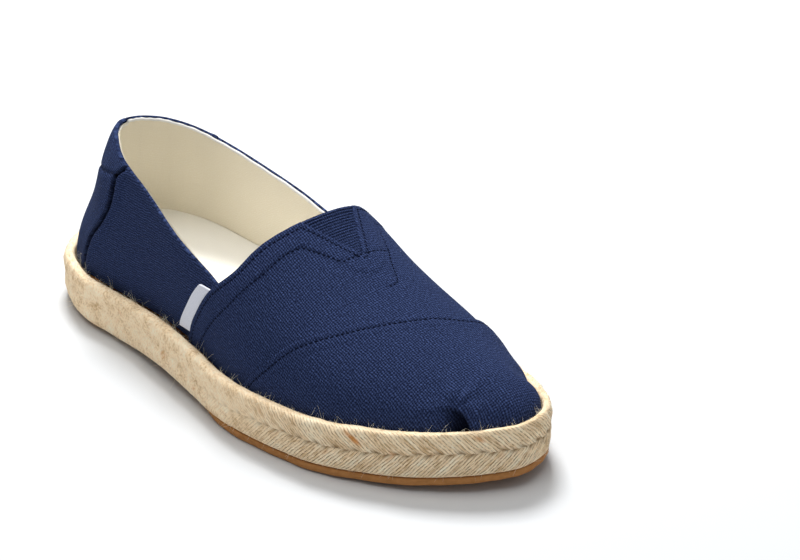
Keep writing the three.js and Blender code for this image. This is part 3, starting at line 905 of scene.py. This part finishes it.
def collar_height(x, inner):
    column = 2 if inner else 1
    stand = 1.4 * smooth(1 - x / 80) if inner else 1.1 * smooth(1 - x / 50)
    return COLLAR_DIP + follow(COLLAR, column, x / CORNER_X) * (HEEL_TOP - COLLAR_DIP) + stand


def collar_rise(turns):
    """Rise at which each turn's line up the last reaches the collar."""
    rises = np.linspace(0, PI / 2, 900)
    p = last_at(turns[:, None], rises)
    inner = (turns < 0)[:, None]
    top = np.where(inner, collar_height(p[..., 0], True), collar_height(p[..., 0], False))
    return first_crossing(rises, p[..., 2] - top)


def heel_edge_distance(points):
    """How far ahead of the heel panel's edge a point is, along the shoe."""
    edge = HEEL_PANEL * follow(HEEL_EDGE, 1, points[..., 2] / HEEL_TOP) - 4 * bell(points[..., 2] - 36, 13)
    return points[..., 0] - edge


def heel_hollow(points, top_gap):
    """Hollow of the cloth half way up the heel, deepest at the back and gone at the collar."""
    sides = 0.9 * bell(points[..., 2] - 47, 12) * smooth((75 - points[..., 0]) / 45)
    back = 2.3 * bell(points[..., 2] - 50, 17) * smooth((45 - points[..., 0]) / 30)
    return -sides - back * smooth(top_gap / 9)


def quarter_grid(rows, reach):
    turns = np.linspace(-reach, reach, 260 * FINE + 1)
    top = collar_rise(turns)
    share = shares(rows)
    turn_grid = np.broadcast_to(turns, (rows + 1, len(turns)))
    return turn_grid, top * share[:, None]


def perimeter_uv(points):
    u = lengths_along(points[0, :, :2])
    up = np.linalg.norm(np.diff(points, axis=0), axis=-1)
    v = np.concatenate([np.zeros((1, points.shape[1])), np.cumsum(up, axis=0)])
    return np.stack([np.broadcast_to(u, v.shape), v], -1)


SIDE_REACH = 1.66


def make_quarters():
    turns, rises = quarter_grid(60 * FINE, SIDE_REACH)
    points, normals = surface(turns, rises)
    uv = perimeter_uv(points)
    ahead = heel_edge_distance(points)
    top_gap = uv[-1:, :, 1] - uv[..., 1]
    lift = undulation(points, 5, 30, 0.14) + heel_hollow(points, top_gap)
    lift = lift + 0.12 * bell(top_gap - 1.2, 1.0) - 0.1 * bell(top_gap - 3.2, 0.9)
    out = smooth((ahead - 0.4) / 1.5)
    from_collar = smooth((top_gap - 0.4) / 2.5)
    lift = lift + 1.3 * bell(ahead - 2.6, 2.8) * out * from_collar - 0.8 * (1 - out) * from_collar
    lift = np.where(lift > 0, lift * smooth(top_gap / 1.5 + 0.3), lift)
    shade = 0.9 * bell(ahead - 0.2, 1.0) * from_collar
    form = (points, normals, lift, [(0, -1)], 0.5, np.full(points.shape[1], -1.15))
    cloth_piece("quarter_cloth", form, canvas_side, uv, shade, "canvas")


def make_lining():
    turns, rises = quarter_grid(40 * FINE, SIDE_REACH)
    points, normals = surface(turns, rises)
    uv = perimeter_uv(points)
    lift = -WALL + undulation(points, 21, 34, 0.18) + heel_hollow(points, uv[-1:, :, 1] - uv[..., 1])
    grid = (points + normals * lift[..., None])[::-1]
    dress(grid_mesh("lining_quarters", grid, lining_cloth, uv[::-1]), "lining", "upper")
    turns, rises = round_the_toe(vamp_edge_turn, band_rows(36 * FINE), 120 * FINE, 0.012)
    points, normals = surface(turns, rises)
    grid = (points - normals * WALL)[::-1]
    uv = unrolled(turns, rises)[::-1]
    dress(grid_mesh("lining_vamp", grid, lining_cloth, uv), "lining")


# lift, height over the collar: the turned edge's section
COLLAR_EDGE_SECTION = (
    (-1.05, -1), (-1.05, 0), (-1.2, 0.3), (-1.55, 0.42),
    (-1.9, 0.3), (-2.2, -0.05), (-2.2, -0.45), (-1.95, -0.7),
)


def make_collar_edge():
    """White turned edge of the lining along the collar, a rounded strip on the inside of the wall."""
    turns = np.linspace(-SIDE_REACH, SIDE_REACH, 260 * FINE + 1)
    top = collar_rise(turns)
    points, normals = surface(turns, top)
    up = unit(slopes_at(turns, top)[1])
    wave = 0.08 * np.sin(turns * 61) + 0.06 * np.sin(turns * 23 + 1)
    wave = wave - 1.1 * (turns > 0) * smooth((points[:, 0] - 19) / 12)
    rows = [points + normals * lift + up * (high + wave)[:, None] for lift, high in COLLAR_EDGE_SECTION]
    dress(grid_mesh("collar_edge", np.stack(rows), white_edge), "lining")


HEEL_REACH = 0.98


def make_heel_panel():
    turns = np.linspace(-HEEL_REACH, HEEL_REACH, 150 * FINE + 1)
    top = collar_rise(turns)
    share = shares(60 * FINE)
    wanted = np.empty((len(share), 2))
    for k in (0, 1):
        side = turns[turns <= 0][::-1] if k == 0 else turns[turns >= 0]
        side_top = top[turns <= 0][::-1] if k == 0 else top[turns >= 0]
        p = last_at(side, side_top * share[:, None])
        wanted[:, k] = np.abs(first_crossing(side, heel_edge_distance(p) + 0.9))
    across = shares(150 * FINE)
    grid_turns = -wanted[:, :1] + (wanted[:, 1:] + wanted[:, :1]) * across
    grid_rises = np.stack([np.interp(row, turns, top) for row in grid_turns]) * share[:, None]
    points, normals = surface(grid_turns, grid_rises)
    uv = perimeter_uv(points)
    from_edge = -heel_edge_distance(points)
    top_gap = uv[-1:, :, 1] - uv[..., 1]
    lift = GAP + CANVAS + undulation(points, 9, 30, 0.14) - 0.15 + heel_hollow(points, top_gap)
    lift = lift + 0.35 * bell(from_edge - 2.4, 2.2)
    crease = points[..., 2] - 52.5 - 0.2 * points[..., 0]
    lift = lift - 0.35 * smooth(crease + 0.5) - 0.5 * bell(crease, 0.8)
    lift = lift - 0.2 * smooth(1 - top_gap / 2)
    lift = lift - 0.6 * (grid_turns < 0) * smooth(1 - top_gap / 7) * smooth((points[..., 0] - 12) / 12)
    lift = lift - 0.5 * bell(uv[..., 0] - uv[..., -1:, 0] / 2, 0.7)
    shade = 0.5 * bell(crease, 0.6) + 0.55 * bell(from_edge - 0.9, 0.45)
    form = (points, normals, lift, [(1, 0), (1, -1), (0, -1)], 0.6, -0.6)
    cloth_piece("heel_cloth", form, canvas_side, uv, shade, "canvas", "heel_panel")


def make_tag():
    top = COLLAR_DIP - TAG_DROP
    z = top - TAG_LENGTH * shares(24 * FINE)
    edge = VAMP_FOOT_X + (THROAT_X - VAMP_FOOT_X) * follow(VAMP_EDGE, 1, z / THROAT_HEIGHT)
    back = np.linspace(0, TAG_WIDTH, 10 * FINE + 1)
    x = edge[:, None] + 0.8 - back
    target = np.stack([x, np.full(x.shape, -35.0), np.broadcast_to(z[:, None], x.shape)], -1)
    turn, rise = settle(target.reshape(-1, 3))
    points, normals = (part.reshape(x.shape + (3,)) for part in surface(turn, rise))
    share = back / TAG_WIDTH
    lift = GAP + TAG - 0.2 + 0.5 * share**2 + 0.15 * np.sin(z[:, None] / 3)
    ends = [(1, -1), (0, 0), (0, -1)]
    grid = rolled(points, normals, np.broadcast_to(lift, x.shape), ends, 0.3, 0.3)
    uv = edge_padded(np.stack([x, np.broadcast_to(z[:, None], x.shape)], -1), ends)
    dress(grid_mesh("tag_tape", grid, tag_tape, uv), "tag", "side_tag")


def sole_ring(turns, inset, height):
    p = inset_at(turns, inset)
    return np.concatenate([p, (ground_at(p[..., 0]) + height)[..., None]], -1)


# across, drop: the insole's section, from its edge to its middle line
INSOLE_SECTION = (
    (0, 4), (0, 0.6), (0.02, 0.15), (0.05, 0), (0.1, 0.15),
    (0.2, 0.7), (0.35, 1.05), (0.6, 1.25), (0.85, 1.3), (1, 1.3),
)
# in, up: the outsole's section, from under it round its edge to its top
OUTSOLE_SECTION = (
    (4, 0), (1.2, 0), (0.75, 0.05), (0.25, 0.35), (0, 0.9), (0, 2), (0.05, 2.8), (0.4, 3), (3, 3),
)


def mirrored(ring):
    """Each point's opposite on a ring that starts at the heel's tip."""
    return ring[(-np.arange(len(ring))) % len(ring)]


def make_insole():
    turns = np.linspace(0, 2 * PI, 200 * FINE, endpoint=False)
    inset = upper_inset(along_at(turns)) + WALL
    edge = inset_at(turns, inset)
    thick = INSOLE * follow(FOOTBED, 1, edge[:, 0] / SOLE_LENGTH)
    middle = (edge + mirrored(edge)) / 2
    rows = []
    for across, drop in INSOLE_SECTION:
        p = edge + (middle - edge) * across
        z = ground_at(p[:, 0]) + RECESS + GAP + thick - drop
        rows.append(np.concatenate([p, z[:, None]], -1))
    grid = np.stack(rows)
    flat = np.concatenate([grid, grid[:, :1]], axis=1)[..., :2]
    dress(grid_mesh("insole_cloth", grid, insole_cloth, flat, wrap=True), "lining", "insole")


def make_outsole():
    turns = np.linspace(0, 2 * PI, 300 * FINE, endpoint=False)
    edge = RIM_WIDTH * follow(EDGES, 1, along_at(turns))
    uneven = 0.12 * np.sin(turns * 47) + 0.1 * np.sin(turns * 19 + 2)
    uneven = uneven + 0.8 * (1 - smooth((outline_at(turns)[:, 0] - 120) / 30))
    ring = sole_ring(turns, edge + OUTSOLE_SECTION[0][0] + uneven, 0)
    middle = (ring + mirrored(ring)) / 2
    rows = []
    for across in (1, 0.6, 0.25):
        row = ring + (middle - ring) * across
        row[:, 2] = ground_at(row[:, 0])
        rows.append(row)
    for inset, height in OUTSOLE_SECTION:
        rows.append(sole_ring(turns, edge + inset + uneven, height))
    grid = np.stack(rows)
    dress(grid_mesh("outsole_rubber", grid, rubber_material(), wrap=True), "outsole", "outsole")


RIB = 7.4
YARNS = 5
YARN_LEAN = 1.0
ROPE_FADE = table((0, 0.22), (60, 0.15), (120, 0.2), (155, 0.4), (185, 0.9), (205, 1), (248, 1))


def rope_ring():
    """Turns spaced evenly along the outline, and the length up to each."""
    fine = np.linspace(0, 2 * PI, 4001)
    p = outline_at(fine)
    lengths = lengths_along(p)
    count = 800 * FINE
    at = np.linspace(0, lengths[-1], count, endpoint=False)
    return np.interp(at, lengths, fine), at, lengths[-1]


def make_rope():
    turns, at, whole = rope_ring()
    ribs = round(whole / RIB)
    pitch = whole / ribs
    count = 30 * FINE
    share = shares(count)
    knots = np.linspace(0, 1, len(ROPE_SECTION))
    table = np.column_stack([knots, ROPE_SECTION])
    inset, up, relief, braid = [follow(table, k, share) for k in (1, 2, 3, 4)]
    rim = rim_at(along_at(turns))
    base = sole_ring(turns, inset[:, None] * rim, 0)
    height = ROPE_BOTTOM + up * ROPE_HEIGHT
    hang = 1.6 * (1 - smooth((outline_at(turns)[:, 0] - 120) / 40))
    base[..., 2] += height[:, None] - hang * smooth((0.3 - share) / 0.3)[:, None]
    out = base - sole_ring(turns, inset[:, None] * rim + 1, 0) * [1, 1, 0]
    out[..., 2] = 0
    out = unit(out)
    rise_way = smooth((share - 0.62) / 0.2)[:, None, None]
    away = unit(out * (1 - rise_way) + np.array([0, 0, 1.0]) * rise_way)

    # Distance along the section from the middle line, and the leaning coordinate of the yarns
    run = lengths_along(np.column_stack([inset * RIM_WIDTH, up * ROPE_HEIGHT]))
    centre = np.interp(0.5, up[: count // 2 + count // 3], run[: count // 2 + count // 3])
    round_at = 2 * PI * at / whole
    wander = 0.5 * np.sin(3 * round_at) + 0.35 * np.sin(9 * round_at + 1)
    apart = run[:, None] - centre - wander
    lean_at = at + YARN_LEAN * np.abs(apart)
    rib = lean_at / pitch + np.where(apart > 0, 0, 0.5)
    within = rib - np.floor(rib)
    bundle = np.sqrt(np.maximum(1 - (2 * within - 1) ** 2, 0))
    fade = follow(ROPE_FADE, 1, outline_at(turns)[:, 0])
    shown = braid[:, None] * fade
    line = bell(apart, 0.9)
    pit = bell(apart, 1.3) * bell(within - 0.08, 0.2) + bell(apart, 1.3) * bell(within - 1.08, 0.2)
    lumps = undulation(base, 41, 9, 0.14) + undulation(base, 42, 3.4, 0.12)
    lumps = lumps + undulation(base, 43, 1.7, 0.06)
    strand = rib * YARNS + undulation(base, 44, 5, 0.3)
    patchy = 0.55 + undulation(base, 45, 4, 0.4)
    yarn = np.abs(np.sin(PI * strand))
    push = shown * (0.2 * (bundle - 0.75) + 0.24 * (yarn - 0.6) * patchy - 0.1 * line - 0.5 * pit)
    push = push + relief[:, None] * lumps
    grid = base + away * push[..., None]
    # Painted shade: darker between the bundles, along the middle line and in its pits.
    painted_shade = shown * (0.15 * (1 - bundle) ** 2 + 0.08 * line + 0.75 * pit)
    # Painted shade on the rope's underside, next to the outsole.
    painted_shade = np.clip(painted_shade + 0.35 * (1 - smooth(share / 0.08))[:, None], 0, 1)
    fleck = np.zeros_like(painted_shade)
    for place, height_at, length, strength in flecks():
        along_yarn = np.abs(apart - height_at)
        away_at = lean_at - place - YARN_LEAN * abs(height_at)
        fleck = np.maximum(fleck, strength * smooth(1.2 - along_yarn / length) * bell(away_at, 0.8))
    paint = {"painted_shade": painted_shade, "shown": shown, "fleck": fleck}
    flat = np.stack([np.broadcast_to(at, apart.shape), apart], -1)
    flat = np.concatenate([flat, flat[:, :1] + [whole, 0]], axis=1)
    jute = jute_material(pitch / YARNS, YARN_LEAN)
    piece = grid_mesh("rope_braid", grid, jute, flat, wrap=True, paint=paint)
    dress(piece, "jute", "rope_midsole")
    make_fibres(grid, away, share)


# Where along the shoe the large orange strand is, and how many strays there are
STREAK_X = 206.5
FIBRES = 3400


def flecks():
    """Orange and brown strands: place along the outline, height off the middle line, length, strength."""
    turns, at, _ = rope_ring()
    xs = outline_at(turns)
    streak = at[np.argmin(np.abs(xs[:, 0] - STREAK_X) + (xs[:, 1] > 0) * 1000)]
    made = [
        (streak, 5.0, 3.0, 1.0),
        (streak + 1.3, 4.6, 2.6, 1.0),
        (streak + 44, 5.5, 1.6, 0.7),
        (streak + 78, -0.6, 1.4, 0.8),
    ]
    draws = np.random.default_rng(51)
    for _ in range(46):
        limits = ((0, at[-1]), (-7, 7), (0.8, 2.4), (0.15, 0.5))
        made.append(tuple(draws.uniform(*pair) for pair in limits))
    return made


def make_fibres(grid, away, share):
    """Stray jute fibres, thin bent tubes, most of them at the rim."""
    draws = np.random.default_rng(61)
    rows, columns = grid.shape[:2]
    vertices, faces = [], []
    for _ in range(FIBRES):
        rim = draws.uniform() < 0.6
        row = int((draws.uniform(0.66, 0.88) if rim else draws.uniform(0.04, 0.8)) * rows)
        column = draws.integers(columns)
        place = grid[row, column]
        way = away[row, column] * draws.uniform(0.2, 0.8) + draws.normal(size=3) * 0.6
        way /= np.linalg.norm(way)
        curl = draws.normal(size=3) * 1.4
        hook = draws.normal(size=3) * 0.9
        felted = place[0] < 150
        length = draws.uniform(0.8, 2.8 if felted else 1.5)
        if draws.uniform() < 0.04:
            length *= 1.9
        radius = draws.uniform(0.035, 0.065)
        pieces = 5
        for k in range(pieces + 1):
            t = k / pieces
            bend = way * t + curl * t * t * 0.6 + hook * t**3 * 0.5
            centre = place - away[row, column] * 0.15 + bend * length
            side = np.cross(way, [0.3, 0.4, 0.86])
            side /= np.linalg.norm(side)
            other = np.cross(way, side)
            for j in range(3):
                angle = 2 * PI * j / 3
                around = side * math.cos(angle) + other * math.sin(angle)
                vertices.append(centre + around * radius * (1 - 0.6 * t))
            if k:
                first = len(vertices) - 6
                for j, after in ((0, 1), (1, 2), (2, 0)):
                    faces.append([first + j, first + after, first + 3 + after, first + 3 + j])
    vertices = np.array(vertices)
    vertices[:, 2] = np.maximum(vertices[:, 2], 0.1)
    piece = make_mesh("stray_fibres", vertices, faces, None, fibre, {})
    dress(piece, "jute")


make_outsole()
make_rope()
make_insole()
make_quarters()
make_lining()
make_collar_edge()
make_heel_panel()
make_vamp()
make_toe()
make_gore()
make_tag()

# Floor, light and camera
FLOOR_SIZE = 4.0
FLOOR_DROP = 0.05 * MM
bpy.ops.mesh.primitive_plane_add(size=FLOOR_SIZE, location=(0, 0, -FLOOR_DROP))
floor = bpy.context.object
floor.name = "floor"
pale = new_material("pale floor", (0.66, 0.675, 0.69), 0.9)
floor.data.materials.append(pale)

world = bpy.data.worlds.new("studio")
world.use_nodes = True
background = world.node_tree.nodes["Background"].inputs
background["Color"].default_value = (1, 1, 1, 1)
background["Strength"].default_value = 0.33
bpy.context.scene.world = world


def softbox(name, location, target, size, power):
    light = bpy.data.lights.new(name, "AREA")
    light.shape = "RECTANGLE"
    light.size, light.size_y = size
    light.energy = power
    lamp = new_object(name, light)
    lamp.location = location
    direction = Vector(target) - Vector(location)
    lamp.rotation_euler = direction.to_track_quat("-Z", "Y").to_euler()


softbox("key", (-0.46, 0.35, 1.04), (0.03, 0, 0.02), (0.38, 0.38), 17)
softbox("fill", (0.12, -0.16, 1.15), (0.02, 0, 0.02), (0.7, 0.7), 4.8)

azimuth, elevation, roll = (math.radians(a) for a in (47.88, 25.21, 0.16))
back = Vector(
    (math.sin(azimuth) * math.cos(elevation), -math.cos(azimuth) * math.cos(elevation), math.sin(elevation))
)
right = Vector((0, 0, 1)).cross(back).normalized()
up = back.cross(right)
aim = Vector((125, 0, 0)) + right * 42.78 + up * 32.67
place = (aim + back * 758.1 + Vector(SHIFT)) * MM
right, up = right * math.cos(roll) - up * math.sin(roll), right * math.sin(roll) + up * math.cos(roll)
camera_data = bpy.data.cameras.new("camera")
camera_data.sensor_width = 36
camera_data.lens = 90
camera_data.clip_end = 20
camera = new_object("camera", camera_data)
camera.matrix_world = Matrix.Translation(place) @ Matrix((right, up, back)).transposed().to_4x4()
bpy.context.scene.camera = camera
bpy.context.scene.view_settings.view_transform = "Standard"
